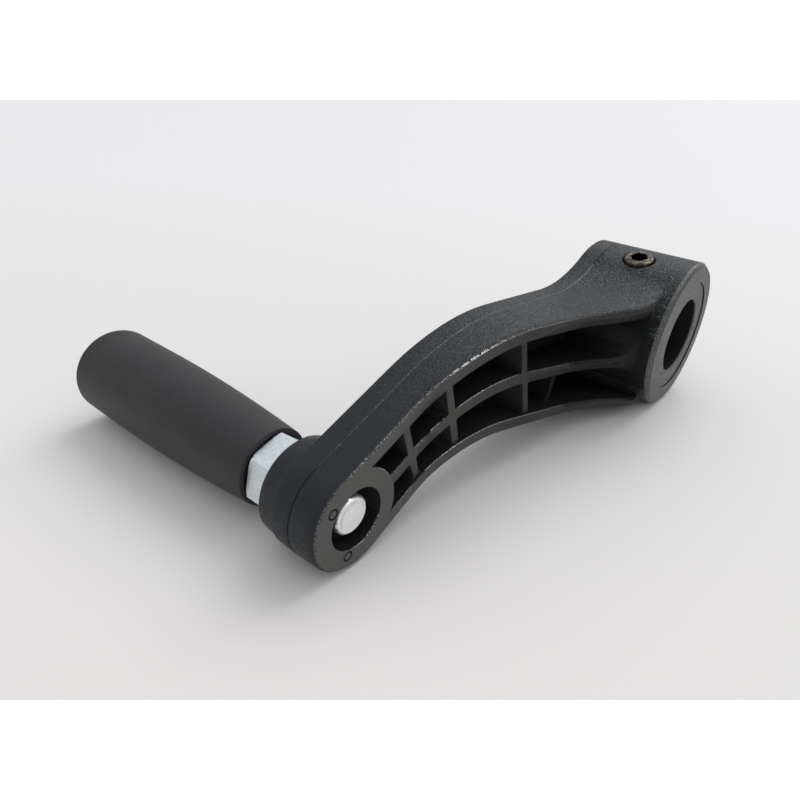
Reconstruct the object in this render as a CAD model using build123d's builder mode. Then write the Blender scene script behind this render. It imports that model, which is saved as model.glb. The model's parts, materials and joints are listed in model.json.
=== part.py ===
from build123d import *
from math import asin, atan2, cos, radians, sin, tan
import os

# A machine crank handle: a moulded, ribbed arm with a plain bored hub held on its shaft
# by a set screw, and a turning grip on a steel spindle pressed into the arm's far end.
#
# Frame: millimetres, +Z up. The origin is the centre of the hub bore, midway along the
# hub, and +Y runs along the bore from the hub's front face towards the grip. The crank
# lies with its hub and its far boss on the same level surface, so the arm drops slightly
# from the hub to the boss.

# ---------------------------------------------------------------- hub
hub_radius = 20.0
hub_length = 29.0
bore_radius = 10.0
bore_chamfer = 0.4
hub_edge_chamfer = 1.2
face_ring_radius = 15.0  # inner edge of the raised ring on the hub's front face
face_ring_step = 0.3
collar_length = 3.3  # plain hub in front of the arm's rims

# ---------------------------------------------------------------- arm
crank_radius = 110.0  # hub axis to grip axis
rear_depth = 4.9  # parting plane to the arm's back
draft_angle = 1.0
rim_edge_chamfer = 0.8
back_edge_chamfer = 0.4
flange_thickness = 3.4
web_thickness = 2.8
flange_root_radius = 2.0  # inside corner between the top flange and the hub
pocket_corner_radius = 0.4

# the rims' height, seen from above: a flare off the collar, then a long easy slope
flare_start = 19.9  # from the hub axis
flare_end = 33.1
flare_end_drop = 7.4  # behind the boss's front face
flare_start_radius = 15.0
flare_end_radius = 55.0
slope_run = 20.0  # the slope ends this far before the grip axis
slope_end_radius = 60.0

# the arm's outline, seen along the bore
top_crest_from_grip = 42.0
top_crest_height = 21.3
top_crest_radius = 70.0
top_slope_angle = 10.2
neck_radius = 40.0
arch_from_grip = 33.0
arch_height = -2.4
arch_radius = 45.0

# the ribs between the two edge flanges
rib_drop = 0.8  # rib fronts lie this far behind the rims
long_rib_thickness = 2.6
long_rib_hub_height = -3.9
long_rib_peak_from_grip = 36.2
long_rib_peak_height = 11.1
long_rib_boss_height = -1.8
long_rib_bend_radius = 50.0
long_rib_root_radius = 8.0  # where it spreads into the hub
cross_rib_thickness = 1.8
cross_ribs = [(17.5, 14.0), (29.4, 10.4), (52.3, 10.7)]  # before the grip axis, and lean
half_rib_from_grip = 67.6  # where it meets the long rib's middle line
half_rib_lean = -16.0
half_rib_drop = 3.4  # a lower rib than the others

# ---------------------------------------------------------------- boss at the grip end
boss_radius = 11.0
boss_front_height = 6.1  # parting plane to the boss's front face
boss_rear_height = 9.4  # parting plane to the boss's back face
boss_draft_angle = 5.0
boss_edge_chamfer = 0.6
pad_radius = 10.2  # solid round the recess, inside the flanges
recess_radius = 6.4
recess_depth = 4.0
ejector_radius = 0.9
ejector_depth = 0.15
ejector_marks = [(5.6, 5.0), (2.8, -7.2)]  # from the grip axis, along and across the arm

# ---------------------------------------------------------------- spindle
tail_radius = 4.0  # pressed into the boss
tail_inset = 1.1  # tail end behind the boss's front face
tail_chamfer = 0.5
hex_across_flats = 14.0
hex_length = 6.8
hex_turn = -14.0
hex_chamfer = 0.8
journal_radius = 5.0
journal_chamfer = 0.8
snap_groove_radius = 4.5
snap_groove_length = 2.6
snap_groove_from_end = 4.0

# ---------------------------------------------------------------- grip
grip_clearance = 0.05  # radial, round the journal
grip_gap = 0.4  # spindle hexagon to the grip's open end
grip_length = 60.0
grip_mouth_radius = 8.4
grip_belly_radius = 10.5
grip_belly_from_mouth = 33.0
grip_mouth_recess_radius = 7.2
grip_mouth_recess_depth = 1.8
grip_mouth_chamfer = 0.3
grip_end_chamfer = 1.1
grip_end_wall = 4.9
grip_end_gap = 1.0  # journal end to the blind end of the grip's bore
snap_lip_clearance = 0.3  # along the axis, each side of the lip
snap_lip_radial_clearance = 0.1

# ---------------------------------------------------------------- set screw, M8 x 10
screw_radius = 4.0
screw_clearance = 0.05
screw_lean = 11.0  # degrees from square to the arm, leaning over the arm
screw_proud = 0.6  # top outside the hub at rest
screw_back_off = 0.6  # tip outside the bore wall at rest
screw_end_radius = 3.2
screw_socket_flats = 4.0
screw_socket_depth = 4.0
screw_cup_radius = 2.0
screw_cup_depth = 1.0
countersink_width = 0.5

# ---------------------------------------------------------------- derived places
drop = asin((hub_radius - boss_radius) / crank_radius)  # hub and boss rest on one level
along = Vector(-cos(drop), 0, -sin(drop))
across = Vector(-sin(drop), 0, cos(drop))
grip_axis_point = along * crank_radius

side = Plane(origin=(0, 0, 0), x_dir=along, z_dir=(0, 1, 0))
plan = Plane(origin=(0, 0, 0), x_dir=along, z_dir=-across)
pin_side = Plane(origin=grip_axis_point, x_dir=along, z_dir=(0, 1, 0))
pin_plan = Plane(origin=grip_axis_point, x_dir=along, z_dir=-across)
pin_axis = Axis(grip_axis_point, (0, 1, 0))

hub_front_y = -hub_length / 2
hub_back_y = hub_length / 2
parting_y = hub_back_y - rear_depth
web_front_y = parting_y - web_thickness / 2
web_back_y = parting_y + web_thickness / 2
boss_front_y = parting_y - boss_front_height
boss_back_y = parting_y + boss_rear_height
boss_back_radius = boss_radius - boss_rear_height * tan(radians(boss_draft_angle))
recess_floor_y = boss_front_y + recess_depth
bore_mouth_y = hub_front_y + face_ring_step

# the half rib stops on the long rib's first straight run
long_rib_rise = (long_rib_peak_height - long_rib_hub_height) / (
    crank_radius - long_rib_peak_from_grip - hub_radius / 2
)
long_rib_root_height = long_rib_hub_height + long_rib_rise * hub_radius / 2
half_rib_foot = crank_radius - half_rib_from_grip
half_rib_top = long_rib_hub_height + long_rib_rise * (half_rib_foot - hub_radius / 2)

screw_outward = across * cos(radians(screw_lean)) + along * sin(radians(screw_lean))
screw_plane = Plane(origin=(0, 0, 0), x_dir=(0, 1, 0), z_dir=screw_outward)
past_all = crank_radius + hub_radius + boss_radius  # larger than the arm in any direction


def rim_front(set_back):
    """Outline in the plan plane of all that lies behind the arm's rims, moved back."""
    collar_end = hub_front_y + collar_length + set_back
    boss_level = boss_front_y + set_back
    with BuildSketch(plan) as region:
        with BuildLine():
            front = FilletPolyline(
                (-past_all, collar_end),
                (flare_start, collar_end),
                (flare_end, boss_level - flare_end_drop),
                (crank_radius - slope_run, boss_level),
                (past_all, boss_level),
                radius=[flare_start_radius, flare_end_radius, slope_end_radius],
            )
            Polyline(front @ 1, (past_all, hub_back_y), (-past_all, hub_back_y), front @ 0)
        make_face()
    return region.sketch


def room_above(region, set_back):
    """The room over a region of the arm, down to where the rims would be, moved back."""
    with BuildPart() as room:
        with BuildSketch(side.offset(hub_front_y)):
            add(region)
        extrude(amount=web_front_y - hub_front_y)
        extrude(rim_front(set_back), amount=past_all, both=True, mode=Mode.SUBTRACT)
    return room.part


def tangent_line(center_a, radius_a, center_b, radius_b):
    """Ends of the line that touches circle a, then circle b.

    A radius is positive where its circle lies left of the line, and negative where right.
    """
    start = Vector(*center_a)
    run = Vector(*center_b) - start
    turn = atan2(run.Y, run.X) + asin((radius_a - radius_b) / run.length)
    normal = Vector(-sin(turn), cos(turn))
    return start - normal * radius_a, start + run - normal * radius_b


# ---------------------------------------------------------------- arm outline
grip_center = (crank_radius, 0)
crest_center = (crank_radius - top_crest_from_grip, top_crest_height - top_crest_radius)
arch_center = (crank_radius - arch_from_grip, arch_height - arch_radius)
crest_leave, boss_top = tangent_line(crest_center, -top_crest_radius, grip_center, -boss_radius)
hub_foot, arch_start = tangent_line((0, 0), hub_radius, arch_center, -arch_radius)
arch_end, boss_foot = tangent_line(arch_center, -arch_radius, grip_center, boss_radius)
crest_start = Vector(*crest_center) + Vector(0, top_crest_radius).rotate(Axis.Z, top_slope_angle)
slope_start = crest_start - Vector(crest_start.X, crest_start.X * tan(radians(top_slope_angle)))

with BuildSketch(side) as outline:
    with BuildLine():
        Line(slope_start, crest_start)
        ThreePointArc(crest_start, (crest_center[0], top_crest_height), crest_leave)
        Line(crest_leave, boss_top)
        ThreePointArc(boss_top, (crank_radius + boss_radius, 0), boss_foot)
        Line(boss_foot, arch_end)
        ThreePointArc(arch_end, (arch_center[0], arch_height), arch_start)
        Line(arch_start, hub_foot)
        Line(hub_foot, slope_start)
    make_face()
    Circle(hub_radius)
    neck_corner = outline.vertices().filter_by(lambda v: v.Y > 0).sort_by(Axis.X)[0]
    fillet(neck_corner, radius=neck_radius)

# a point of the hub's circle close to the root of the top flange
flange_root = Vector(hub_radius).rotate(Axis.Z, 40)

# all that lies inside the edge flanges, between the hub and the boss
with BuildSketch(side) as between:
    add(outline.sketch_local)
    offset(amount=-flange_thickness, mode=Mode.REPLACE)
    Circle(hub_radius, mode=Mode.SUBTRACT)
    with Locations(grip_center):
        Circle(pad_radius, mode=Mode.SUBTRACT)
    fillet(between.vertices().sort_by_distance(flange_root)[0], radius=flange_root_radius)

# the pockets that the ribs leave there
with BuildSketch(side) as pockets:
    add(between.sketch_local)
    with BuildLine():
        FilletPolyline(
            (hub_radius / 2, long_rib_hub_height),
            (crank_radius - long_rib_peak_from_grip, long_rib_peak_height),
            (crank_radius, long_rib_boss_height),
            radius=long_rib_bend_radius,
        )
    trace(line_width=long_rib_thickness, mode=Mode.SUBTRACT)
    rib_roots = pockets.vertices().sort_by_distance((hub_radius, long_rib_root_height))
    fillet(rib_roots[:2], radius=long_rib_root_radius)
    for from_grip, lean in cross_ribs:
        with Locations((crank_radius - from_grip, 0)):
            Rectangle(cross_rib_thickness, past_all, rotation=-lean, mode=Mode.SUBTRACT)
    # in, then out again, rounds the pockets' corners
    offset(amount=-pocket_corner_radius, mode=Mode.REPLACE)
    offset(amount=pocket_corner_radius, mode=Mode.REPLACE)

# a low rib from the long rib to the bottom flange
with BuildSketch(side) as half_rib:
    with Locations((half_rib_foot, half_rib_top)):
        Rectangle(
            cross_rib_thickness,
            hub_radius,
            rotation=-half_rib_lean,
            align=(Align.CENTER, Align.MAX),
        )
    add(pockets.sketch_local, mode=Mode.INTERSECT)

# ---------------------------------------------------------------- crank arm
with BuildPart() as arm_blank:
    with BuildSketch(side.offset(parting_y)) as parting:
        add(outline.sketch_local)
    extrude(
        parting.sketch, amount=parting_y - hub_front_y, dir=(0, -1, 0), taper=draft_angle
    )
    extrude(parting.sketch, amount=rear_depth, dir=(0, 1, 0), taper=draft_angle)
    extrude(rim_front(0), amount=past_all, both=True, mode=Mode.INTERSECT)
    # the rims run smoothly all round, so one edge of them leads the chamfer round the rest
    rim_at_tip = arm_blank.edges().filter_by(lambda e: e.center().Y < parting_y).sort_by(Axis.X)[0]
    chamfer(rim_at_tip, length=rim_edge_chamfer)
    back_at_tip = arm_blank.faces().sort_by(Axis.Y)[-1].edges().sort_by(Axis.X)[0]
    chamfer(back_at_tip, length=back_edge_chamfer)

with BuildPart() as crank_arm:
    with BuildSketch(side.offset(hub_front_y)):
        Circle(hub_radius)
    extrude(amount=hub_length)
    hub_rims = crank_arm.edges().filter_by(GeomType.CIRCLE).sort_by(Axis.Y)
    chamfer(hub_rims[0], length=hub_edge_chamfer)
    chamfer(hub_rims[-1], length=back_edge_chamfer)
    add(arm_blank.part)

    # boss behind the arm, tapering to its back face
    with BuildSketch(pin_plan):
        with BuildLine():
            Polyline(
                (0, parting_y),
                (boss_radius, parting_y),
                (boss_back_radius, boss_back_y - boss_edge_chamfer),
                (boss_back_radius - boss_edge_chamfer, boss_back_y),
                (0, boss_back_y),
                close=True,
            )
        make_face()
    revolve(axis=pin_axis)

    # pockets in front of the web and behind it, with the ribs standing between them
    add(room_above(between.sketch_local, rib_drop), mode=Mode.SUBTRACT)
    add(room_above(half_rib.sketch_local, half_rib_drop), mode=Mode.SUBTRACT)
    with BuildSketch(side.offset(web_front_y)):
        add(pockets.sketch_local)
        add(half_rib.sketch_local, mode=Mode.SUBTRACT)
    extrude(amount=hub_front_y - web_front_y, mode=Mode.SUBTRACT)
    with BuildSketch(side.offset(web_back_y)):
        add(pockets.sketch_local)
        add(half_rib.sketch_local, mode=Mode.SUBTRACT)
    extrude(amount=hub_back_y - web_back_y, mode=Mode.SUBTRACT)

    # hub: the bore with its chamfers and the step inside the raised face ring
    with BuildSketch(plan):
        with BuildLine():
            Polyline(
                (0, hub_front_y),
                (face_ring_radius, hub_front_y),
                (face_ring_radius, bore_mouth_y),
                (bore_radius + bore_chamfer, bore_mouth_y),
                (bore_radius, bore_mouth_y + bore_chamfer),
                (bore_radius, hub_back_y - bore_chamfer),
                (bore_radius + bore_chamfer, hub_back_y),
                (0, hub_back_y),
                close=True,
            )
        make_face()
    revolve(axis=Axis.Y, mode=Mode.SUBTRACT)
    with Locations(screw_plane.offset(hub_radius)):
        CounterSinkHole(
            radius=screw_radius + screw_clearance,
            counter_sink_radius=screw_radius + screw_clearance + countersink_width,
            depth=hub_radius - bore_radius / 2,
            counter_sink_angle=90,
        )

    # boss: recess round the spindle's tail, the tail's hole, and the ejector marks
    with BuildSketch(pin_side.offset(boss_front_y)):
        Circle(recess_radius)
    extrude(amount=recess_depth, mode=Mode.SUBTRACT)
    with BuildSketch(pin_side.offset(recess_floor_y)):
        Circle(tail_radius)
    extrude(amount=boss_back_y - recess_floor_y, mode=Mode.SUBTRACT)
    with BuildSketch(pin_side.offset(boss_front_y)):
        with Locations(*ejector_marks):
            Circle(ejector_radius)
    extrude(amount=ejector_depth, mode=Mode.SUBTRACT)

# ---------------------------------------------------------------- grip spindle
# turned all over, then its collar milled to a hexagon that seats on the boss
hex_corner_radius = hex_across_flats / 2 / cos(radians(30))
hex_end_y = boss_back_y + hex_length
mouth_y = hex_end_y + grip_gap
grip_end_y = mouth_y + grip_length
grip_bore_end_y = grip_end_y - grip_end_wall
journal_end_y = grip_bore_end_y - grip_end_gap
groove_start_y = journal_end_y - snap_groove_from_end - snap_groove_length
groove_end_y = groove_start_y + snap_groove_length
tail_end_y = boss_front_y + tail_inset

with BuildPart() as grip_spindle:
    with BuildSketch(pin_plan):
        with BuildLine():
            Polyline(
                (0, tail_end_y),
                (tail_radius - tail_chamfer, tail_end_y),
                (tail_radius, tail_end_y + tail_chamfer),
                (tail_radius, boss_back_y),
                (hex_corner_radius, boss_back_y),
                (hex_corner_radius, hex_end_y - hex_chamfer * tan(radians(30))),
                (hex_corner_radius - hex_chamfer, hex_end_y),
                (journal_radius, hex_end_y),
                (journal_radius, groove_start_y),
                (snap_groove_radius, groove_start_y),
                (snap_groove_radius, groove_end_y),
                (journal_radius, groove_end_y),
                (journal_radius, journal_end_y - journal_chamfer),
                (journal_radius - journal_chamfer, journal_end_y),
                (0, journal_end_y),
                close=True,
            )
        make_face()
    revolve(axis=pin_axis)
    with BuildSketch(pin_side.offset(boss_back_y)):
        Circle(2 * hex_corner_radius)
        RegularPolygon(
            hex_across_flats / 2,
            side_count=6,
            major_radius=False,
            rotation=hex_turn,
            mode=Mode.SUBTRACT,
        )
    extrude(amount=hex_length, mode=Mode.SUBTRACT)

# ---------------------------------------------------------------- grip sleeve
grip_bore_radius = journal_radius + grip_clearance
snap_lip_radius = snap_groove_radius + snap_lip_radial_clearance
lip_start_y = groove_start_y + snap_lip_clearance
lip_end_y = groove_end_y - snap_lip_clearance

with BuildPart() as grip_sleeve:
    with BuildSketch(pin_plan):
        with BuildLine():
            Polyline(
                (grip_mouth_recess_radius, mouth_y),
                (grip_mouth_radius - grip_mouth_chamfer, mouth_y),
                (grip_mouth_radius, mouth_y + grip_mouth_chamfer),
                (grip_belly_radius, mouth_y + grip_belly_from_mouth),
                (grip_belly_radius, grip_end_y - grip_end_chamfer),
                (grip_belly_radius - grip_end_chamfer, grip_end_y),
                (0, grip_end_y),
                (0, grip_bore_end_y),
                (grip_bore_radius, grip_bore_end_y),
                (grip_bore_radius, lip_end_y),
                (snap_lip_radius, lip_end_y),
                (snap_lip_radius, lip_start_y),
                (grip_bore_radius, lip_start_y),
                (grip_bore_radius, mouth_y + grip_mouth_recess_depth),
                (grip_mouth_recess_radius, mouth_y + grip_mouth_recess_depth),
                close=True,
            )
        make_face()
    revolve(axis=pin_axis)

# ---------------------------------------------------------------- set screw
screw_tip = bore_radius + screw_back_off
screw_top = hub_radius + screw_proud
screw_end_chamfer = screw_radius - screw_end_radius

with BuildPart() as set_screw:
    with BuildSketch(screw_plane.offset(screw_tip)):
        Circle(screw_radius)
    extrude(amount=screw_top - screw_tip)
    chamfer(set_screw.edges().filter_by(GeomType.CIRCLE), length=screw_end_chamfer)
    with BuildSketch(screw_plane.offset(screw_top)):
        RegularPolygon(screw_socket_flats / 2, side_count=6, major_radius=False)
    extrude(amount=-screw_socket_depth, mode=Mode.SUBTRACT)
    with BuildSketch(screw_plane.offset(screw_tip)):
        Circle(screw_cup_radius)
    extrude(amount=screw_cup_depth, taper=45, mode=Mode.SUBTRACT)

# ---------------------------------------------------------------- write the parts
os.makedirs("parts", exist_ok=True)

crank_arm.part.label = "crank_arm"
export_step(crank_arm.part, "parts/crank_arm.step")

grip_spindle.part.label = "grip_spindle"
export_step(grip_spindle.part, "parts/grip_spindle.step")

grip_sleeve.part.label = "grip_sleeve"
export_step(grip_sleeve.part, "parts/grip_sleeve.step")

set_screw.part.label = "set_screw"
export_step(set_screw.part, "parts/set_screw.step")
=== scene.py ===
"""Looks of a moulded machine crank handle: ribbed arm, turning grip, steel spindle, set screw.

Every length is in metres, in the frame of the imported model: +Z up, +Y along the hub bore
towards the grip, with the origin at the bore's centre midway along the hub.
"""

from __future__ import annotations

import json
import logging
import math
from dataclasses import dataclass
from enum import Enum
from typing import Iterable

import bmesh
import bpy
from bmesh.types import BMEdge, BMesh, BMFace, BMVert
from bpy.types import Material, NodeSocket, Object, ShaderNodeTree
from mathutils import Matrix, Vector
from mathutils.bvhtree import BVHTree


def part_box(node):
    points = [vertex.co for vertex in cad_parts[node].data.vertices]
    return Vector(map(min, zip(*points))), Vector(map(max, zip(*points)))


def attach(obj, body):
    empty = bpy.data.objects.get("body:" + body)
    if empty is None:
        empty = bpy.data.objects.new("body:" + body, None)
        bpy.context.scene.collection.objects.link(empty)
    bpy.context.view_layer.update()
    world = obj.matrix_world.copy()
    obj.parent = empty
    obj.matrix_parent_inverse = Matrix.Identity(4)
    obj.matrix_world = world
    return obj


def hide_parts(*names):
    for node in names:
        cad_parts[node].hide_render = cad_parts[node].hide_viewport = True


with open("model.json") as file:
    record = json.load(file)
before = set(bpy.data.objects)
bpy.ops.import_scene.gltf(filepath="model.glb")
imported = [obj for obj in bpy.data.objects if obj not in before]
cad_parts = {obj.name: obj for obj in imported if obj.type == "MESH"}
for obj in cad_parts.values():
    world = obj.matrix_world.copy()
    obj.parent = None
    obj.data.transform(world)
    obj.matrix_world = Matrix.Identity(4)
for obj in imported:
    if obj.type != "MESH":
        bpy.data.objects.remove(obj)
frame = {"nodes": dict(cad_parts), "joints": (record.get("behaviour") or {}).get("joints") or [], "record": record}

MM = 0.001
MERGE_DISTANCE = 0.001 * MM
ROOM_PER_WIDTH = 2.4  # face width that a rounding needs, as a multiple of its own reach
LOG = logging.getLogger("crank_handle")


def flattened(point: Vector) -> Vector:
    """Takes a point to the plane through the origin that is square to the bore."""
    return Vector((point.x, 0.0, point.z))


def object_from(bm: BMesh, name: str) -> Object:
    """Makes a bmesh's object in the scene.

    Args:
        bm: The finished bmesh, which is freed.
        name: The object's name.

    Returns:
        The object, at the origin.
    """
    mesh = bpy.data.meshes.new(name)
    bm.to_mesh(mesh)
    bm.free()
    made = bpy.data.objects.new(name, mesh)
    bpy.context.scene.collection.objects.link(made)
    return made


def joint_named(name: str) -> dict:
    """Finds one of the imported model's joints."""
    return next(joint for joint in frame["joints"] if joint["name"] == name)


# ---------------------------------------------------------------- places read from the frame
@dataclass(frozen=True)
class CrankPlaces:
    """The places that every sub-assembly shares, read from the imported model.

    Attributes:
        hub_front_y: The hub's front face.
        hub_back_y: The hub's back face, level with the arm's back.
        hub_radius: Outside radius of the hub.
        bore_radius: Radius of the hub's bore.
        grip_foot: The point of the grip's axis level with the hub's middle.
        rest_level: Height of the level surface that the crank lies on.
    """

    hub_front_y: float
    hub_back_y: float
    hub_radius: float
    bore_radius: float
    grip_foot: Vector
    rest_level: float

    @classmethod
    def read(cls) -> "CrankPlaces":
        """Reads the places from the loaded frame.

        Returns:
            The shared places.
        """
        low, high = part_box("crank_arm")
        spin = joint_named("grip_spin")
        mounts = frame["record"]["mounts"]
        bore = next(mount for mount in mounts if mount["kind"] == "bore")
        return cls(
            hub_front_y=low.y,
            hub_back_y=-low.y,
            hub_radius=high.x,
            bore_radius=bore["dims"]["r_mm"] * MM,
            grip_foot=flattened(Vector(spin["pos_m"])),
            rest_level=low.z,
        )


# ---------------------------------------------------------------- mesh helpers
class PieceMesh:
    """A bmesh on its way to becoming a finished piece of the crank."""

    def __init__(self, name: str) -> None:
        """Starts an empty mesh.

        Args:
            name: The finished piece's name.
        """
        self.name = name
        self.bm: BMesh = bmesh.new()

    @classmethod
    def copied_from(cls, node: str, name: str, flat_angle: float) -> "PieceMesh":
        """Starts from a copy of a CAD node, merged and with its flat triangles joined.

        Args:
            node: The CAD node's name.
            name: The finished piece's name.
            flat_angle: Faces that meet within this angle become one, in radians.

        Returns:
            The started piece.
        """
        piece = cls(name)
        piece.bm.from_mesh(frame["nodes"][node].data)
        bmesh.ops.remove_doubles(piece.bm, verts=piece.bm.verts, dist=MERGE_DISTANCE)
        bmesh.ops.dissolve_limit(
            piece.bm, angle_limit=flat_angle, verts=piece.bm.verts, edges=piece.bm.edges
        )
        return piece

    def spin_profile(self, profile: list[Vector], place: Matrix, steps: int) -> None:
        """Turns an open profile fully round the local Z axis and puts it in place.

        Args:
            profile: Points (radius, 0, height) from one end of the axis to the other.
            place: Takes the local Z axis to its place on the crank.
            steps: Number of segments in the full turn.
        """
        verts = [self.bm.verts.new(point) for point in profile]
        edges = [self.bm.edges.new(pair) for pair in zip(verts, verts[1:])]
        bmesh.ops.spin(
            self.bm,
            geom=[*verts, *edges],
            axis=(0.0, 0.0, 1.0),
            cent=(0.0, 0.0, 0.0),
            angle=math.tau,
            steps=steps,
            use_merge=True,
        )
        bmesh.ops.remove_doubles(self.bm, verts=self.bm.verts, dist=MERGE_DISTANCE)
        bmesh.ops.recalc_face_normals(self.bm, faces=self.bm.faces)
        bmesh.ops.transform(self.bm, matrix=place, verts=self.bm.verts)

    def sharp_edges(self, least_angle: float) -> list[BMEdge]:
        """Finds the edges whose faces turn by more than an angle.

        Args:
            least_angle: The least turn, in radians.

        Returns:
            The sharp edges.
        """
        return [edge for edge in self.bm.edges if edge.calc_face_angle(0.0) > least_angle]

    def round_corners(self, least_angle: float, width: float, segments: int) -> None:
        """Rounds the sharp edges whose faces have room for it.

        Args:
            least_angle: The least turn of a sharp edge, in radians.
            width: How far each rounding reaches into its faces.
            segments: Number of strips that make a rounding.
        """
        sharp = self.sharp_edges(least_angle)
        self.round_edges([edge for edge in sharp if self.has_room(edge, width)], width, segments)

    @staticmethod
    def narrowness(face: BMFace) -> float:
        """Measures how wide a face is across its longest side."""
        return face.calc_area() / max(side.calc_length() for side in face.edges)

    @staticmethod
    def has_room(edge: BMEdge, width: float) -> bool:
        """Tells whether both faces of an edge are wide enough for a rounding.

        Args:
            edge: The edge.
            width: How far the rounding reaches into its faces.

        Returns:
            Whether the rounding fits without folding.
        """
        return min(map(PieceMesh.narrowness, edge.link_faces)) > ROOM_PER_WIDTH * width

    def round_edges(self, edges: Iterable[BMEdge], width: float, segments: int) -> list[BMFace]:
        """Rounds edges over.

        Args:
            edges: The edges to round.
            width: How far each rounding reaches into its faces.
            segments: Number of strips that make a rounding.

        Returns:
            The faces of the roundings.
        """
        return bmesh.ops.bevel(
            self.bm,
            geom=list(edges),
            offset=width,
            offset_type="OFFSET",
            affect="EDGES",
            segments=segments,
            profile=0.5,
            material=-1,
            clamp_overlap=False,
            loop_slide=True,
        )["faces"]

    def finish(
        self, body: str, slot: str, node: str, finishes: list[Material], crease: float
    ) -> Object:
        """Makes the object, shades it smooth and lets it stand for its CAD node.

        Args:
            body: The CAD body that it rides on.
            slot: The record's material slot of its finish; not used.
            node: The CAD node that it replaces.
            finishes: Its materials, in the order of its faces' material indices.
            crease: Edges sharper than this angle stay crisp, in radians.

        Returns:
            The finished piece.
        """
        piece = object_from(self.bm, self.name)
        mesh = piece.data
        for finish in finishes:
            mesh.materials.append(finish)
        mesh.shade_smooth()
        mesh.set_sharp_from_angle(angle=crease)
        even = piece.modifiers.new("even_shading", "WEIGHTED_NORMAL")
        even.keep_sharp = True
        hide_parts(node)
        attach(piece, body)
        LOG.info("%s: %d faces on body %s", self.name, len(mesh.polygons), body)
        return piece


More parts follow.
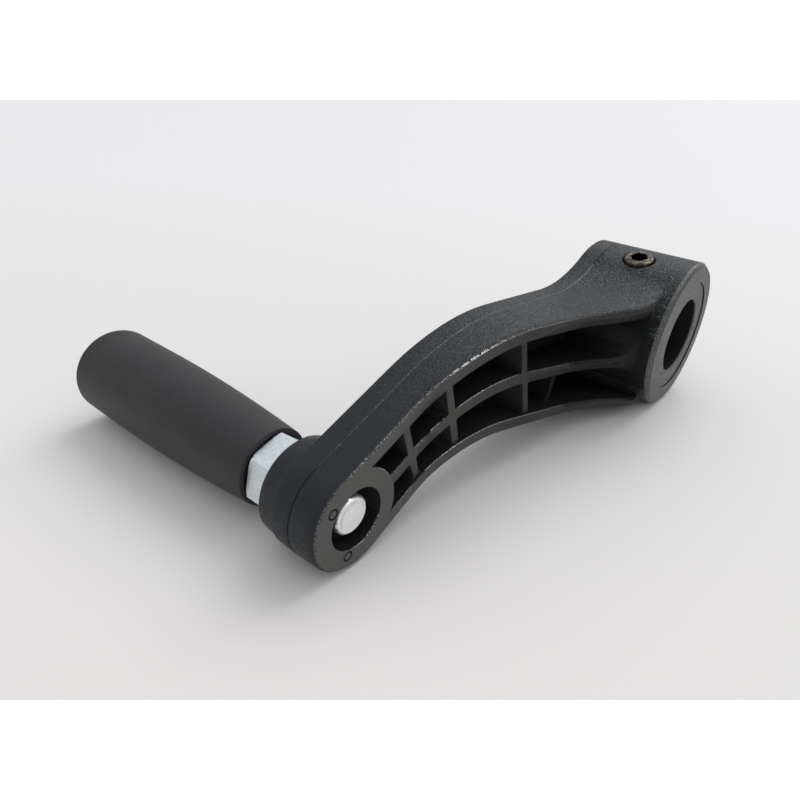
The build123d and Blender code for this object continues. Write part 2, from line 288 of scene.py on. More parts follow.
# ---------------------------------------------------------------- node helpers
class FinishGraph:
    """A material's node graph, built link by link from object coordinates."""

    def __init__(self, name: str) -> None:
        """Makes an empty material with a Principled shader.

        Args:
            name: The material's name.
        """
        self.material = bpy.data.materials.new(name)
        self.material.use_nodes = True
        self.tree: ShaderNodeTree = self.material.node_tree
        self.tree.nodes.clear()
        self.shader = self.tree.nodes.new("ShaderNodeBsdfPrincipled")
        output = self.tree.nodes.new("ShaderNodeOutputMaterial")
        self.link(self.shader.outputs["BSDF"], output.inputs["Surface"])
        self.place = self.tree.nodes.new("ShaderNodeTexCoord").outputs["Object"]

    def link(self, source: NodeSocket, target: NodeSocket) -> None:
        """Links an output socket to an input socket."""
        self.tree.links.new(source, target)

    def noise(self, size: float, detail: float = 2.0, roughness: float = 0.5) -> NodeSocket:
        """Adds noise whose features are about a given size.

        Args:
            size: Size of a feature in metres.
            detail: Octaves of finer noise.
            roughness: Weight of the finer octaves.

        Returns:
            The noise value, around 0.5.
        """
        node = self.tree.nodes.new("ShaderNodeTexNoise")
        node.inputs["Scale"].default_value = 1.0 / size
        node.inputs["Detail"].default_value = detail
        node.inputs["Roughness"].default_value = roughness
        self.link(self.place, node.inputs["Vector"])
        return node.outputs["Fac"]

    def fade(
        self, value: NodeSocket, start: float, end: float, low: float, high: float
    ) -> NodeSocket:
        """Maps a value between two bounds onto another pair, clamped.

        Args:
            value: The value to map.
            start: Where the result is low.
            end: Where the result is high.
            low: Result at start.
            high: Result at end.

        Returns:
            The mapped value.
        """
        node = self.tree.nodes.new("ShaderNodeMapRange")
        node.inputs["From Min"].default_value = start
        node.inputs["From Max"].default_value = end
        node.inputs["To Min"].default_value = low
        node.inputs["To Max"].default_value = high
        self.link(value, node.inputs["Value"])
        return node.outputs["Result"]

    def combine(self, operation: str, first: NodeSocket, second: NodeSocket | float) -> NodeSocket:
        """Joins two values by arithmetic.

        Args:
            operation: The Math node's operation.
            first: The first value.
            second: The second value, linked or plain.

        Returns:
            The result.
        """
        node = self.tree.nodes.new("ShaderNodeMath")
        node.operation = operation
        self.link(first, node.inputs[0])
        if isinstance(second, float):
            node.inputs[1].default_value = second
        else:
            self.link(second, node.inputs[1])
        return node.outputs[0]

    def mix_colors(
        self, share: NodeSocket, low: tuple | NodeSocket, high: tuple | NodeSocket
    ) -> NodeSocket:
        """Mixes two colours by a varying share.

        Args:
            share: 0 gives the first colour and 1 the second.
            low: First colour, linear red, green and blue, or a socket that gives it.
            high: Second colour.

        Returns:
            The mixed colour.
        """
        node = self.tree.nodes.new("ShaderNodeMix")
        node.data_type = "RGBA"
        for name, color in (("A", low), ("B", high)):
            if isinstance(color, NodeSocket):
                self.link(color, node.inputs[name])
            else:
                node.inputs[name].default_value = (*color, 1.0)
        self.link(share, node.inputs["Factor"])
        return node.outputs["Result"]

    def lengthwise(self, direction: tuple[float, float, float]) -> NodeSocket:
        """Measures how far a point lies along a direction.

        Args:
            direction: The direction, of length 1.

        Returns:
            The distance from the origin along it, in metres.
        """
        node = self.tree.nodes.new("ShaderNodeVectorMath")
        node.operation = "DOT_PRODUCT"
        node.inputs[1].default_value = direction
        self.link(self.place, node.inputs[0])
        return node.outputs["Value"]

    def from_hub_axis(self) -> NodeSocket:
        """Measures how far a point lies from the hub's axis.

        Returns:
            The distance in metres.
        """
        flatten = self.tree.nodes.new("ShaderNodeVectorMath")
        flatten.operation = "MULTIPLY"
        flatten.inputs[1].default_value = (1.0, 0.0, 1.0)
        self.link(self.place, flatten.inputs[0])
        measure = self.tree.nodes.new("ShaderNodeVectorMath")
        measure.operation = "LENGTH"
        self.link(flatten.outputs["Vector"], measure.inputs[0])
        return measure.outputs["Value"]

    def bump(self, height: NodeSocket, depth: float, strength: float = 1.0) -> None:
        """Stands a relief on the surface.

        Args:
            height: Relief from 0 to 1.
            depth: Height of the full relief in metres.
            strength: Share of the relief that shows.
        """
        node = self.tree.nodes.new("ShaderNodeBump")
        node.inputs["Strength"].default_value = strength
        node.inputs["Distance"].default_value = depth
        self.link(height, node.inputs["Height"])
        self.link(node.outputs["Normal"], self.shader.inputs["Normal"])

    def set(self, name: str, value: float | NodeSocket) -> None:
        """Sets or links one of the shader's inputs."""
        socket = self.shader.inputs[name]
        if isinstance(value, NodeSocket):
            self.link(value, socket)
        else:
            socket.default_value = value


# ---------------------------------------------------------------- finishes
@dataclass(frozen=True)
class MouldedPlastic:
    """Black glass-filled plastic as it leaves the mould.

    Attributes:
        name: The material's name.
        base: Colour of the plastic, linear.
        bloom: Colour of its lighter patches, linear.
        grain_size: Size of a grain in metres.
        grain_depth: Height of the grain in metres.
        smooth: Roughness in the grain's hollows.
        rough: Roughness on the grain's peaks.
        gloss: Strength of its reflections, 0.5 for a clean plastic.
        painted_glint: Colour of the painted glints among the grains, linear, or None.
        painted_glint_level: Level of the painted glints' noise, from 0 to 1, at which they start.
        root_painted_shade: Colour of the painted shade that the plastic fades to beside the hub, linear, or None.
        end_painted_light: Colour of the painted light that it is lightened to at the grip's end, linear, or None.
        painted_glint_size: Size of a painted glint in metres.
        shine_from: Distances from the hub's axis at which its shine and its painted glints start and are full, or
            None.
        patch_size: Size of the plastic's lighter patches.
        painted_glint_softness: Span of the painted glints' noise over which they grow to full strength.
        painted_light_span: Distances from the hub's axis between which the painted light at the grip's end grows.
        glint_thinning_span: Distances between which the painted glints thin out on the boss.
        boss_glint_share: Share of the painted glints that is left there.
        smoothed_span: Distances between which the grain grows lower on the boss.
        smoothed_grain: Share of the grain that is left there.
        dull_roughness: Roughness where the shine has not started.
        root_span: Distances between which the painted shade at the ribs' root fades out.
        root_rise: Heights above or below the bore between which the painted shade at the root ends.
    """

    name: str
    base: tuple[float, float, float]
    bloom: tuple[float, float, float]
    grain_size: float
    grain_depth: float
    smooth: float
    rough: float
    gloss: float = 0.5
    painted_glint: tuple[float, float, float] | None = None
    painted_glint_level: float = 0.64
    root_painted_shade: tuple[float, float, float] | None = None
    end_painted_light: tuple[float, float, float] | None = None
    painted_glint_size: float = 0.27 * MM
    shine_from: tuple[float, float] | None = None
    patch_size: float = 9.0 * MM
    painted_glint_softness: float = 0.06
    painted_light_span: tuple[float, float] = (62.0 * MM, 104.0 * MM)
    glint_thinning_span: tuple[float, float] = (106.0 * MM, 114.0 * MM)
    boss_glint_share: float = 0.4
    smoothed_span: tuple[float, float] = (98.0 * MM, 108.0 * MM)
    smoothed_grain: float = 0.6
    dull_roughness: float = 0.6
    root_span: tuple[float, float] = (22.0 * MM, 38.0 * MM)
    root_rise: tuple[float, float] = (7.0 * MM, 11.0 * MM)

    def make(self) -> Material:
        """Builds the material.

        Returns:
            The material.
        """
        graph = FinishGraph(self.name)
        grain = graph.noise(self.grain_size, detail=3.0, roughness=0.65)
        reach = graph.from_hub_axis()
        graph.link(self.tint(graph, reach), graph.shader.inputs["Base Color"])
        roughness = graph.fade(grain, 0.35, 0.65, self.smooth, self.rough)
        if self.shine_from is not None:
            dull = graph.fade(reach, *self.shine_from, self.dull_roughness, 0.0)
            roughness = graph.combine("MAXIMUM", roughness, dull)
        graph.set("Roughness", roughness)
        graph.set("IOR", 1.5)
        graph.set("Specular IOR Level", self.gloss)
        if self.end_painted_light is not None:
            smoothed = graph.fade(reach, *self.smoothed_span, 1.0, self.smoothed_grain)
            grain = graph.combine("MULTIPLY", grain, smoothed)
        graph.bump(grain, self.grain_depth)
        return graph.material

    def tint(self, graph: FinishGraph, reach: NodeSocket) -> NodeSocket:
        """Mixes the plastic's colour from its patches, painted glints, painted light at the grip's end and painted
        shade beside the hub.

        Args:
            graph: The material's node graph.
            reach: Distance from the hub's axis.

        Returns:
            The colour.
        """
        patches = graph.noise(self.patch_size, detail=3.0)
        color = graph.mix_colors(graph.fade(patches, 0.35, 0.7, 0.0, 1.0), self.base, self.bloom)
        # Painted glints: light specks in the colour that stand for highlights on the grain.
        if self.painted_glint is not None:
            glint_noise = graph.noise(self.painted_glint_size, detail=0.0)
            full = self.painted_glint_level + self.painted_glint_softness
            peaks = graph.fade(glint_noise, self.painted_glint_level, full, 0.0, 1.0)
            boss_glint_part = graph.fade(reach, *self.glint_thinning_span, 1.0, self.boss_glint_share)
            peaks = graph.combine("MULTIPLY", peaks, boss_glint_part)
            if self.shine_from is not None:
                share = graph.fade(reach, *self.shine_from, 0.0, 1.0)
                peaks = graph.combine("MULTIPLY", peaks, share)
            color = graph.mix_colors(peaks, color, self.painted_glint)
        # Painted light: the colour grows lighter towards the grip's end.
        if self.end_painted_light is not None:
            rubbed = graph.fade(reach, *self.painted_light_span, 0.0, 1.0)
            color = graph.mix_colors(rubbed, color, self.end_painted_light)
        # Painted shade: darker in the ribs' root beside the hub.
        if self.root_painted_shade is not None:
            color = graph.mix_colors(self.root_share(graph, reach), color, self.root_painted_shade)
        return color

    def root_share(self, graph: FinishGraph, reach: NodeSocket) -> NodeSocket:
        """Works out how much painted shade a point gets in the ribs' root beside the hub.

        Args:
            graph: The material's node graph.
            reach: Distance from the hub's axis.

        Returns:
            1 at the hub, falling to 0 along the ribs and towards the flanges.
        """
        near = graph.fade(reach, *self.root_span, 1.0, 0.0)
        rise = graph.combine("ABSOLUTE", graph.lengthwise((0.0, 0.0, 1.0)), 0.0)
        inner = graph.fade(rise, *self.root_rise, 1.0, 0.0)
        return graph.combine("MULTIPLY", near, inner)


@dataclass(frozen=True)
class ZincPlate:
    """Bright zinc plating on turned steel, with the spangle of a passivated finish."""

    name: str = "zinc_plate"
    base: tuple[float, float, float] = (0.84, 0.91, 0.94)
    shade: tuple[float, float, float] = (0.62, 0.70, 0.75)
    spangle: float = 0.5 * MM

    def make(self) -> Material:
        """Builds the material.

        Returns:
            The material.
        """
        graph = FinishGraph(self.name)
        spangle = graph.noise(self.spangle, detail=3.0, roughness=0.6)
        clouds = graph.noise(3.0 * MM, detail=2.0)
        color = graph.mix_colors(graph.fade(spangle, 0.35, 0.65, 0.0, 1.0), self.shade, self.base)
        color = graph.mix_colors(graph.fade(clouds, 0.4, 0.75, 0.0, 0.5), color, self.shade)
        graph.link(color, graph.shader.inputs["Base Color"])
        graph.set("Metallic", 0.75)
        graph.set("Roughness", graph.fade(spangle, 0.3, 0.7, 0.38, 0.5))
        graph.bump(spangle, 0.02 * MM, 0.6)
        return graph.material


@dataclass(frozen=True)
class BlackenedSteel:
    """Black oxide on a hardened screw, rubbed towards steel where it is handled.

    Attributes:
        name: The material's name.
        base: Colour of the oxide, linear.
        worn: Colour where it is rubbed through, linear.
        wear_start: Wear noise at which the rubbing begins.
    """

    name: str
    base: tuple[float, float, float]
    worn: tuple[float, float, float]
    wear_start: float

    def make(self) -> Material:
        """Builds the material.

        Returns:
            The material.
        """
        graph = FinishGraph(self.name)
        wear = graph.noise(0.8 * MM, detail=3.0)
        share = graph.fade(wear, self.wear_start, self.wear_start + 0.2, 0.0, 1.0)
        color = graph.mix_colors(share, self.base, self.worn)
        graph.link(color, graph.shader.inputs["Base Color"])
        graph.set("Metallic", 1.0)
        graph.set("Roughness", graph.fade(wear, 0.3, 0.7, 0.45, 0.3))
        graph.bump(wear, 0.01 * MM, 0.5)
        return graph.material


class ArmSkin(Enum):
    """Kinds of surface on the arm, numbered as its materials are."""

    GRAINED = 0
    RIM = 1
    POCKET = 2
    HUB_FACE = 3
    EDGE = 4
    SEAM = 5


# ---------------------------------------------------------------- arm
@dataclass
class CrankArm:
    """The ribbed, moulded arm with its hub and its boss."""

    places: CrankPlaces
    rear_depth: float = 4.9 * MM
    web_thickness: float = 2.8 * MM
    boss_radius: float = 11.0 * MM
    flat_angle: float = math.radians(0.3)
    least_sharp: float = math.radians(60.0)
    edge_rounding: float = 0.22 * MM
    edge_segments: int = 3
    shining_width: float = 0.42 * MM
    upward_wall: float = 0.35
    rib_tops_from: float = 44.0 * MM
    edge_room: float = 1.4 * MM
    edge_tilt: tuple[float, float] = (0.45, 0.9)
    root_reach: float = 36.0 * MM
    root_half_height: float = 15.5 * MM
    crease: float = math.radians(50.0)
    outside_tilt: float = 0.25
    flange_foot: float = 11.0 * MM
    near_wall: float = 30.0 * MM
    facing_front: float = 0.3
    seam_half_width: float = 0.16 * MM
    seam_rise: float = 0.05 * MM
    seam_sink: float = 0.26 * MM
    mark_reach: float = 1.1 * MM
    least_mark_area: float = 1.0 * MM * MM
    mark_growth: float = 1.25
    mark_sink: float = 0.35 * MM
    mark_ring_width: float = 0.32 * MM
    least_mark_sides: int = 12
    pad_slope: float = 0.04 * MM
    pad_rise: float = 0.14 * MM
    boss_step_reach: tuple[float, float] = (-0.6 * MM, 0.2 * MM)
    round_slack: float = 0.2 * MM
    hub_face_depth: float = 1.5 * MM
    behind_hub_face: float = 2.0 * MM
    bore_skin: float = 0.6 * MM
    collar_start: float = 8.0 * MM
    collar_half_height: float = 14.0 * MM
    square_on: float = 0.9
    ray_lift: float = 0.3 * MM

    @property
    def parting_y(self) -> float:
        """The plane in which the mould's halves meet."""
        return self.places.hub_back_y - self.rear_depth

    def build(self) -> Object:
        """Builds the arm.

        Returns:
            The finished arm.
        """
        piece = PieceMesh.copied_from("crank_arm", "arm_moulding", self.flat_angle)
        self.mark_skins(piece.bm)
        self.thin_shining_edges(piece.bm)
        self.round_rib_tops(piece)
        self.stand_ejector_pads(piece.bm)
        self.draw_seam(piece.bm)
        return piece.finish("arm", "arm_plastic", "crank_arm", self.finishes(), self.crease)

    @staticmethod
    def finishes() -> list[Material]:
        """Makes the arm's materials.

        Returns:
            The materials, in the order of ArmSkin.
        """
        # Each fleck colour below paints glints: light specks that stand for highlights.
        skins = [
            MouldedPlastic(
                name="grained_black",
                # The cool, bluish black is partly the plastic's tone and partly a painted reflection of the sky.
                base=(0.0105, 0.0145, 0.0185),
                bloom=(0.018, 0.023, 0.028),
                grain_size=0.70 * MM,
                grain_depth=0.28 * MM,
                smooth=0.26,
                rough=0.55,
                gloss=0.17,
                painted_glint=(0.115, 0.125, 0.135),
                painted_glint_level=0.61,
                # Painted light towards the grip's end.
                end_painted_light=(0.023, 0.027, 0.032),
            ),
            MouldedPlastic(
                name="rim_black",
                base=(0.013, 0.0135, 0.0125),
                bloom=(0.022, 0.022, 0.021),
                grain_size=0.40 * MM,
                grain_depth=0.03 * MM,
                smooth=0.42,
                rough=0.55,
                gloss=0.26,
                painted_glint=(0.05, 0.05, 0.047),
                painted_glint_level=0.70,
                # Painted shade beside the hub.
                root_painted_shade=(0.006, 0.007, 0.007),
                # Painted light towards the grip's end.
                end_painted_light=(0.085, 0.087, 0.081),
            ),
            MouldedPlastic(
                name="pocket_black",
                base=(0.014, 0.015, 0.015),
                bloom=(0.019, 0.020, 0.020),
                grain_size=1.6 * MM,
                grain_depth=0.01 * MM,
                smooth=0.30,
                rough=0.42,
                gloss=0.06,
            ),
            MouldedPlastic(
                name="hub_face_black",
                base=(0.040, 0.045, 0.042),
                bloom=(0.066, 0.072, 0.068),
                grain_size=0.60 * MM,
                grain_depth=0.14 * MM,
                smooth=0.36,
                rough=0.6,
                gloss=0.55,
                painted_glint=(0.15, 0.16, 0.15),
                painted_glint_level=0.62,
            ),
            MouldedPlastic(
                name="edge_black",
                base=(0.011, 0.012, 0.013),
                bloom=(0.018, 0.019, 0.020),
                grain_size=0.50 * MM,
                grain_depth=0.06 * MM,
                smooth=0.10,
                rough=0.28,
                gloss=0.7,
                # Painted glints along the edge's thin line stand for its speckled highlight.
                painted_glint=(0.32, 0.32, 0.31),
                painted_glint_level=0.54,
                painted_glint_size=0.22 * MM,
                shine_from=(44.0 * MM, 72.0 * MM),
            ),
            MouldedPlastic(
                name="seam_black",
                base=(0.016, 0.018, 0.021),
                bloom=(0.024, 0.026, 0.030),
                grain_size=0.80 * MM,
                grain_depth=0.10 * MM,
                smooth=0.2,
                rough=0.4,
                gloss=0.6,
                painted_glint=(0.15, 0.15, 0.15),
                painted_glint_level=0.60,
            ),
        ]
        return [skin.make() for skin in skins]

    def thin_shining_edges(self, bm: BMesh) -> None:
        """Keeps the shine and the painted glints of the edge finish on a thin line beside the rim and grains the
        rest of the edge.

        Args:
            bm: The arm's mesh.
        """
        for face in [f for f in bm.faces if f.material_index == ArmSkin.EDGE.value]:
            face.material_index = ArmSkin.GRAINED.value
            beside = [
                side for side in face.edges
                if any(f.material_index == ArmSkin.RIM.value for f in side.link_faces)
            ]
            if not beside:
                continue
            foot = max(beside, key=BMEdge.calc_length)
            start, end = (vert.co.copy() for vert in foot.verts)
            inward = face.normal.cross(end - start).normalized()
            if (face.calc_center_median() - start).dot(inward) < 0.0:
                inward.negate()
            cut = start + inward * self.shining_width
            parts = bmesh.ops.bisect_plane(
                bm, geom=[face, *face.edges, *face.verts], dist=1e-7, plane_co=cut, plane_no=inward
            )["geom"]
            for part in (part for part in parts if isinstance(part, BMFace)):
                if (part.calc_center_median() - cut).dot(inward) < 0.0:
                    part.material_index = ArmSkin.EDGE.value
        bm.normal_update()

    def round_rib_tops(self, piece: PieceMesh) -> None:
        """Rounds the upper front edges of the ribs, which catch the light.

        Args:
            piece: The arm.
        """
        tops = []
        for edge in piece.bm.edges:
            skins = {face.material_index for face in edge.link_faces}
            walls = [f for f in edge.link_faces if f.material_index == ArmSkin.POCKET.value]
            if skins != {ArmSkin.RIM.value, ArmSkin.POCKET.value} or not edge.is_convex:
                continue
            upward = walls[0].normal.z > self.upward_wall
            middle = (edge.verts[0].co + edge.verts[1].co) / 2
            if flattened(middle).length < self.rib_tops_from:
                continue
            if upward and edge.calc_face_angle(0.0) > self.least_sharp:
                tops.append(edge)
        roomy = [edge for edge in tops if piece.has_room(edge, self.edge_rounding)]
        for face in piece.round_edges(roomy, self.edge_rounding, self.edge_segments):
            face.material_index = ArmSkin.EDGE.value

    def stand_ejector_pads(self, bm: BMesh) -> None:
        """Stands a low pad in each ejector mark, so that the mark is a ring.

        Args:
            bm: The arm's mesh.
        """
        floors = [face for face in bm.faces if self.is_mark_floor(face)]
        for floor in floors:
            middle = floor.calc_center_median()
            beside = {face for side in floor.edges for face in side.link_faces}
            for vert in {vert for face in beside for vert in face.verts}:
                reach = vert.co - middle
                if reach.length < self.mark_reach:
                    vert.co += flattened(reach) * (self.mark_growth - 1.0)
            for vert in floor.verts:
                vert.co.y += self.mark_sink
            ring = bmesh.ops.inset_region(
                bm, faces=[floor], thickness=self.mark_ring_width, depth=0.0
            )
            pad = bmesh.ops.inset_region(
                bm, faces=[floor], thickness=self.pad_slope, depth=self.mark_sink + self.pad_rise
            )
            for face in (*ring["faces"], *pad["faces"]):
                face.material_index = ArmSkin.POCKET.value
        LOG.info("ejector marks: %d", len(floors))

    def is_mark_floor(self, face: BMFace) -> bool:
        """Tells whether a face is the round floor of an ejector mark."""
        if face.normal.y > -0.99 or face.calc_area() < self.least_mark_area:
            return False
        middle = face.calc_center_median()
        reach = max((vert.co - middle).length for vert in face.verts)
        return len(face.verts) > self.least_mark_sides and reach < self.mark_reach

    def draw_seam(self, bm: BMesh) -> None:
        """Draws the line that the mould's halves leave round the outside.

        Args:
            bm: The arm's mesh.
        """
        for step in (-1.0, 0.0, 1.0):
            level = self.parting_y + step * self.seam_half_width
            outside = [
                face for face in bm.faces
                if face.material_index == ArmSkin.GRAINED.value
                and min(v.co.y for v in face.verts) < level < max(v.co.y for v in face.verts)
            ]
            bmesh.ops.bisect_plane(
                bm,
                geom=[
                    *outside,
                    *{edge for face in outside for edge in face.edges},
                    *{vert for face in outside for vert in face.verts},
                ],
                dist=1e-7,
                plane_co=(0.0, level, 0.0),
                plane_no=(0.0, 1.0, 0.0),
            )
        bm.normal_update()
        seam = [
            vert for vert in bm.verts
            if abs(vert.co.y - self.parting_y) < 1e-6
            and (
                all(f.material_index == ArmSkin.GRAINED.value for f in vert.link_faces)
                or self.on_boss_outside(vert)
            )
        ]
        moves = [vert.normal * self.seam_height(vert) for vert in seam]
        for vert, move in zip(seam, moves):
            vert.co += move
            skin = ArmSkin.SEAM if self.seam_height(vert) > 0.0 else ArmSkin.POCKET
            for face in vert.link_faces:
                face.material_index = skin.value

    def on_boss_outside(self, vert: BMVert) -> bool:
        """Tells whether a point lies on the outside of the boss, where its halves step."""
        reach = (flattened(vert.co) - self.places.grip_foot).length - self.boss_radius
        outer = self.boss_step_reach[0] < reach < self.boss_step_reach[1]
        return outer and any(f.material_index == ArmSkin.GRAINED.value for f in vert.link_faces)

    def seam_height(self, vert: BMVert) -> float:
        """Tells how far the seam stands out at a point.

        Args:
            vert: A point of the seam.

        Returns:
            A rise along the arm, and a sink round the hub and the boss.
        """
        flat = flattened(vert.co)
        round_hub = flat.length < self.places.hub_radius + self.round_slack
        round_boss = (flat - self.places.grip_foot).length < self.boss_radius + self.round_slack
        return -self.seam_sink if round_hub or round_boss else self.seam_rise

    def mark_skins(self, bm: BMesh) -> None:
        """Gives each face of the arm its kind of surface.

        Args:
            bm: The arm's mesh.
        """
        bm.normal_update()
        tree = BVHTree.FromBMesh(bm)
        for face in bm.faces:
            face.material_index = self.skin_of(face, tree).value

    def skin_of(self, face: BMFace, tree: BVHTree) -> ArmSkin:
        """Tells a face's kind of surface from where it looks.

        Args:
            face: The face.
            tree: The arm's faces, to look for walls nearby.

        Returns:
            The kind of surface.
        """
        middle = face.calc_center_median()
        flat = flattened(middle)
        tilt = abs(face.normal.y)
        behind_face = middle.y > self.places.hub_front_y + self.behind_hub_face
        at_root = (
            behind_face
            and flat.length < self.root_reach
            and abs(middle.z) < self.root_half_height
        )
        if self.edge_tilt[0] < tilt < self.edge_tilt[1] and not at_root:
            if PieceMesh.narrowness(face) < self.edge_room:
                on_hub = not behind_face and flat.length < self.places.hub_radius
                return ArmSkin.HUB_FACE if on_hub else ArmSkin.EDGE
        outside = abs(face.normal.z) > self.outside_tilt and face.normal.z * middle.z > 0.0
        if outside and at_root and abs(middle.z) > self.flange_foot:
            return ArmSkin.GRAINED
        if face.normal.y < -self.facing_front:
            in_face = middle.y < self.places.hub_front_y + self.hub_face_depth
            if in_face and flat.length < self.places.hub_radius:
                return ArmSkin.HUB_FACE
            floor = abs(middle.y - self.parting_y) < self.web_thickness
            return ArmSkin.POCKET if floor else ArmSkin.RIM
        if flat.length < self.places.bore_radius + self.bore_skin:
            return ArmSkin.POCKET
        on_collar = middle.x < -self.collar_start and abs(middle.z) < self.collar_half_height
        if on_collar and behind_face and middle.y < 0.0 and flat.length < self.root_reach:
            return ArmSkin.POCKET
        if tilt > self.square_on:
            on_back = middle.y > self.parting_y + self.web_thickness
            return ArmSkin.GRAINED if on_back else ArmSkin.POCKET
        outward = flattened(face.normal).normalized()
        start = middle + outward * self.ray_lift
        walled = tree.ray_cast(start, outward, self.near_wall)[0] is not None
        return ArmSkin.POCKET if walled else ArmSkin.GRAINED


# ---------------------------------------------------------------- spindle
@dataclass
class GripSpindle:
    """The turned steel spindle with its milled hexagon."""

    places: CrankPlaces
    flat_angle: float = math.radians(0.3)
    least_sharp: float = math.radians(25.0)
    edge_rounding: float = 0.12 * MM
    edge_segments: int = 2
    crease: float = math.radians(40.0)
    ring_inset: float = 0.50 * MM
    ring_width: float = 0.16 * MM
    ring_depth: float = 0.20 * MM
    end_depth: float = 1.0 * MM

    def cut_end_ring(self, bm: BMesh) -> None:
        """Cuts the fine ring that riveting leaves on the spindle's front end.

        Args:
            bm: The spindle's mesh.
        """
        low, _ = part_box("grip_spindle")
        end = [
            face for face in bm.faces
            if face.normal.y < -0.99 and all(v.co.y < low.y + 0.01 * MM for v in face.verts)
        ]
        bmesh.ops.inset_region(bm, faces=end, thickness=self.ring_inset, depth=0.0)
        bmesh.ops.inset_region(bm, faces=end, thickness=self.ring_width, depth=-self.ring_depth)
        bmesh.ops.inset_region(bm, faces=end, thickness=self.ring_width, depth=self.ring_depth)

    def build(self) -> Object:
        """Builds the spindle.

        Returns:
            The finished spindle.
        """
        piece = PieceMesh.copied_from("grip_spindle", "spindle_turned", self.flat_angle)
        self.cut_end_ring(piece.bm)
        piece.round_corners(self.least_sharp, self.edge_rounding, self.edge_segments)
        self.mark_end(piece.bm)
        finishes = [
            ZincPlate().make(),
            ZincPlate(
                name="riveted_zinc", base=(0.97, 0.99, 0.98), shade=(0.88, 0.91, 0.92)
            ).make(),
        ]
        return piece.finish("arm", "zinc_steel", "grip_spindle", finishes, self.crease)

    def mark_end(self, bm: BMesh) -> None:
        """Marks the faces of the riveted end, which get a brighter, more even zinc."""
        low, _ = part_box("grip_spindle")
        for face in bm.faces:
            on_end = face.calc_center_median().y < low.y + self.end_depth
            face.material_index = int(on_end and face.normal.y < -0.5)


# ---------------------------------------------------------------- grip
@dataclass
class GripSleeve:
    """The smooth matt sleeve that turns on the spindle."""

    places: CrankPlaces
    mouth_radius: float = 8.45 * MM
    belly_radius: float = 10.5 * MM
    belly_from_mouth: float = 44.0 * MM
    flank_steps: int = 24
    recess_radius: float = 7.2 * MM
    recess_depth: float = 1.8 * MM
    bore_radius: float = 5.05 * MM
    bore_end_wall: float = 4.9 * MM
    mouth_rounding: float = 0.25 * MM
    mouth_segments: int = 3
    end_rounding: float = 1.5 * MM
    end_segments: int = 8
    turn_steps: int = 144
    least_sharp: float = math.radians(30.0)
    crease: float = math.radians(40.0)

    def flank(self) -> list[Vector]:
        """Works out the swell of the flank as an arc that ends level at the belly.

        Returns:
            Points (radius, 0, height above the mouth).
        """
        rise = self.belly_radius - self.mouth_radius
        sweep = (self.belly_from_mouth**2 + rise**2) / (2 * rise)
        points = []
        for step in range(self.flank_steps + 1):
            height = self.belly_from_mouth * step / self.flank_steps
            back = self.belly_from_mouth - height
            radius = self.belly_radius - sweep + math.sqrt(sweep**2 - back**2)
            points.append(Vector((radius, 0.0, height)))
        return points

    def build(self) -> Object:
        """Builds the sleeve.

        Returns:
            The finished sleeve.
        """
        low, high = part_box("grip_sleeve")
        length = high.y - low.y
        bore_end = length - self.bore_end_wall
        profile = [
            Vector((0.0, 0.0, bore_end)),
            Vector((self.bore_radius, 0.0, bore_end)),
            Vector((self.bore_radius, 0.0, self.recess_depth)),
            Vector((self.recess_radius, 0.0, self.recess_depth)),
            Vector((self.recess_radius, 0.0, 0.0)),
            *self.flank(),
            Vector((self.belly_radius, 0.0, length)),
            Vector((0.0, 0.0, length)),
        ]
        foot = self.places.grip_foot + Vector((0.0, low.y, 0.0))
        place = Matrix.Translation(foot) @ Matrix.Rotation(-math.pi / 2, 4, "X")
        piece = PieceMesh("grip_sleeve_turning")
        piece.spin_profile(profile, place, self.turn_steps)
        rims = piece.sharp_edges(self.least_sharp)
        end = [e for e in rims if all(v.co.y > high.y - MERGE_DISTANCE for v in e.verts)]
        piece.round_edges(end, self.end_rounding, self.end_segments)
        mouth = [
            e for e in piece.sharp_edges(self.least_sharp)
            if all(v.co.y < low.y + MERGE_DISTANCE for v in e.verts)
        ]
        piece.round_edges(mouth, self.mouth_rounding, self.mouth_segments)
        finish = MouldedPlastic(
            name="matt_grip_black",
            base=(0.023, 0.024, 0.027),
            bloom=(0.029, 0.030, 0.033),
            grain_size=0.30 * MM,
            grain_depth=0.025 * MM,
            smooth=0.5,
            rough=0.62,
            gloss=0.42,
        ).make()
        return piece.finish("grip", "grip_plastic", "grip_sleeve", [finish], self.crease)


# ---------------------------------------------------------------- set screw
@dataclass
class SetScrew:
    """The socket set screw in the hub."""

    places: CrankPlaces
    flat_angle: float = math.radians(0.3)
    least_sharp: float = math.radians(25.0)
    edge_rounding: float = 0.15 * MM
    edge_segments: int = 2
    crease: float = math.radians(50.0)
    rim_depth: float = 0.35 * MM

    def build(self) -> Object:
        """Builds the set screw.

        Returns:
            The finished screw.
        """
        piece = PieceMesh.copied_from("set_screw", "set_screw_socket", self.flat_angle)
        piece.round_corners(self.least_sharp, self.edge_rounding, self.edge_segments)
        self.mark_rubbed_rim(piece.bm)
        finishes = [
            BlackenedSteel(
                name="blackened_steel",
                base=(0.030, 0.027, 0.024),
                worn=(0.10, 0.088, 0.068),
                wear_start=0.48,
            ).make(),
            BlackenedSteel(
                name="rubbed_steel",
                base=(0.06, 0.052, 0.04),
                worn=(0.20, 0.165, 0.11),
                wear_start=0.46,
            ).make(),
        ]
        return piece.finish("screw", "dark_steel", "set_screw", finishes, self.crease)

    def mark_rubbed_rim(self, bm: BMesh) -> None:
        """Marks the faces round the screw's outer end where the oxide is rubbed.

        Args:
            bm: The screw's mesh.
        """
        axis = Vector(joint_named("set_screw_travel")["axis"]).normalized()
        axis = axis if axis.z > 0.0 else -axis
        top = max(vert.co.dot(axis) for vert in bm.verts)
        for face in bm.faces:
            middle = face.calc_center_median()
            high = middle.dot(axis) > top - self.rim_depth
            sloped = 0.2 < face.normal.dot(axis) < 0.95
            face.material_index = int(high and sloped)


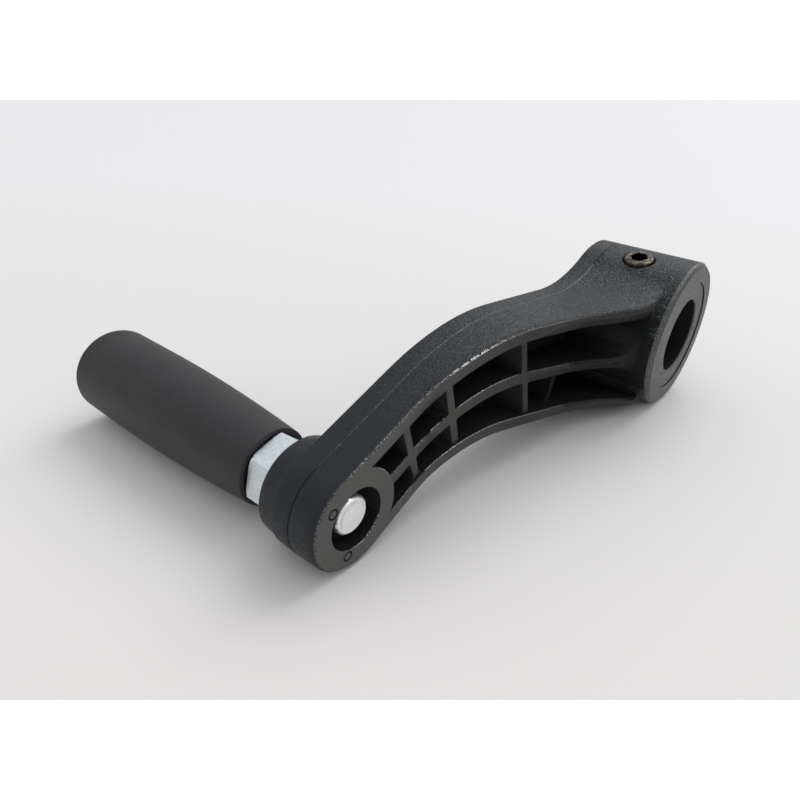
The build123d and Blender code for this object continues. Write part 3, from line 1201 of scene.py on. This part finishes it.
# ---------------------------------------------------------------- studio
@dataclass
class Studio:
    """A pale table with painted light falloff, soft lamps and a camera."""

    places: CrankPlaces
    # The table's colour runs from the near tone to the far one as painted light falloff.
    near_table_painted_shade: tuple[float, float, float] = (0.80, 0.785, 0.778)
    far_table_painted_light: tuple[float, float, float] = (0.845, 0.85, 0.866)
    table_reach: float = 8.0
    horizon_level: float = 0.42
    zenith_level: float = 0.84
    lens: float = 28.83
    camera_place: tuple[float, float, float] = (-176.042 * MM, -57.280 * MM, 66.264 * MM)
    camera_turn: tuple[float, float, float] = (51.579, -29.216, 3.626)

    card_distance: float = 4.0 * MM
    card_clear_angle: float = math.radians(25.09)
    card_reach: float = 3.0 * MM

    def build(self) -> None:
        """Builds the table, the world, the lamps and the camera."""
        self.build_table()
        self.build_world()
        self.build_lamp("window", (0.66, 0.02, 0.75), 44.0, 1.15)
        glint = self.build_lamp("ceiling_lamp", (0.34, -0.60, 0.70), 12.0, 0.75)
        glint.visible_diffuse = False
        camera = self.build_camera()
        self.build_lens_card("lens_card_top", camera, 1.0)
        self.build_lens_card("lens_card_bottom", camera, -1.0)

    def build_table(self) -> None:
        """Lays a pale table under the crank, painted lighter and cooler away from the camera as painted light
        falloff.
        """
        bm = bmesh.new()
        bmesh.ops.create_grid(bm, x_segments=1, y_segments=1, size=self.table_reach)
        bmesh.ops.translate(bm, vec=(0.0, 0.0, self.places.rest_level), verts=bm.verts)
        table = object_from(bm, "table")
        graph = FinishGraph("pale_table")
        # Painted light falloff: lighter and cooler along the view across the table.
        reach = graph.fade(graph.lengthwise((0.78, 0.626, 0.0)), -0.12, 0.25, 0.0, 1.0)
        graph.link(
            graph.mix_colors(reach, self.near_table_painted_shade, self.far_table_painted_light),
            graph.shader.inputs["Base Color"],
        )
        graph.set("Roughness", 0.7)
        table.data.materials.append(graph.material)

    def build_world(self) -> None:
        """Lights the room softly from above, with a white background behind the table."""
        world = bpy.data.worlds.new("room")
        world.use_nodes = True
        tree = world.node_tree
        tree.nodes.clear()
        background = tree.nodes.new("ShaderNodeBackground")
        background.inputs["Color"].default_value = (1.0, 1.0, 1.0, 1.0)
        rays = tree.nodes.new("ShaderNodeLightPath")
        direction = tree.nodes.new("ShaderNodeTexCoord")
        parts = tree.nodes.new("ShaderNodeSeparateXYZ")
        tree.links.new(direction.outputs["Generated"], parts.inputs["Vector"])
        climb = tree.nodes.new("ShaderNodeMapRange")
        climb.inputs["To Min"].default_value = self.horizon_level
        climb.inputs["To Max"].default_value = self.zenith_level
        tree.links.new(parts.outputs["Z"], climb.inputs["Value"])
        level = tree.nodes.new("ShaderNodeMapRange")
        level.inputs["To Max"].default_value = 1.0
        tree.links.new(climb.outputs["Result"], level.inputs["To Min"])
        output = tree.nodes.new("ShaderNodeOutputWorld")
        tree.links.new(rays.outputs["Is Camera Ray"], level.inputs["Value"])
        tree.links.new(level.outputs["Result"], background.inputs["Strength"])
        tree.links.new(background.outputs["Background"], output.inputs["Surface"])
        bpy.context.scene.world = world

    def build_lamp(
        self, name: str, toward: tuple[float, float, float], spread: float, strength: float
    ) -> Object:
        """Hangs a soft, far lamp.

        Args:
            name: The lamp's name.
            toward: Direction from the crank to the lamp.
            spread: How wide it looks from the crank, in degrees.
            strength: How brightly it lights a surface that faces it.

        Returns:
            The lamp.
        """
        data = bpy.data.lights.new(name, "SUN")
        data.angle = math.radians(spread)
        data.energy = strength
        lamp = bpy.data.objects.new(name, data)
        lamp.location = toward
        lamp.rotation_euler = Vector(toward).to_track_quat("Z", "Y").to_euler()
        bpy.context.scene.collection.objects.link(lamp)
        return lamp

    def build_camera(self) -> Object:
        """Sets up the camera.

        Returns:
            The camera.
        """
        data = bpy.data.cameras.new("camera")
        data.lens = self.lens
        data.sensor_width = 36.0
        data.clip_start = 1.0 * MM
        data.clip_end = 20.0
        camera = bpy.data.objects.new("camera", data)
        heading, pitch, roll = (math.radians(angle) for angle in self.camera_turn)
        turn = (
            Matrix.Rotation(-heading, 4, "Z")
            @ Matrix.Rotation(pitch + math.pi / 2, 4, "X")
            @ Matrix.Rotation(roll, 4, "Z")
        )
        camera.matrix_world = Matrix.Translation(self.camera_place) @ turn
        bpy.context.scene.collection.objects.link(camera)
        bpy.context.scene.camera = camera
        return camera

    def build_lens_card(self, name: str, camera: Object, side: float) -> None:
        """Holds a small white card just off the lens, to square off the picture.

        Args:
            name: The card's name.
            camera: The camera whose picture it trims.
            side: 1 for the top of the picture and -1 for the bottom.
        """
        inner = math.tan(self.card_clear_angle) * self.card_distance * side
        outer = self.card_reach * side
        corners = [
            Vector((-self.card_reach, inner, -self.card_distance)),
            Vector((self.card_reach, inner, -self.card_distance)),
            Vector((self.card_reach, outer, -self.card_distance)),
            Vector((-self.card_reach, outer, -self.card_distance)),
        ]
        bm = bmesh.new()
        bm.faces.new([bm.verts.new(camera.matrix_world @ corner) for corner in corners])
        card = object_from(bm, name)
        for rays in ("diffuse", "glossy", "transmission", "shadow"):
            setattr(card, f"visible_{rays}", False)
        graph = FinishGraph(name)
        graph.set("Base Color", (0.0, 0.0, 0.0, 1.0))
        graph.set("Emission Color", (1.0, 1.0, 1.0, 1.0))
        graph.set("Emission Strength", 1.0)
        card.data.materials.append(graph.material)


def main() -> None:
    """Builds the crank handle's pieces, then the studio round them."""
    logging.basicConfig(level=logging.INFO, format="%(name)s: %(message)s")
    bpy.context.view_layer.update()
    places = CrankPlaces.read()
    for sub_assembly in (CrankArm, GripSpindle, GripSleeve, SetScrew):
        sub_assembly(places).build()
    Studio(places).build()
    bpy.context.scene.view_settings.view_transform = "Standard"


if __name__ == "__main__":
    main()
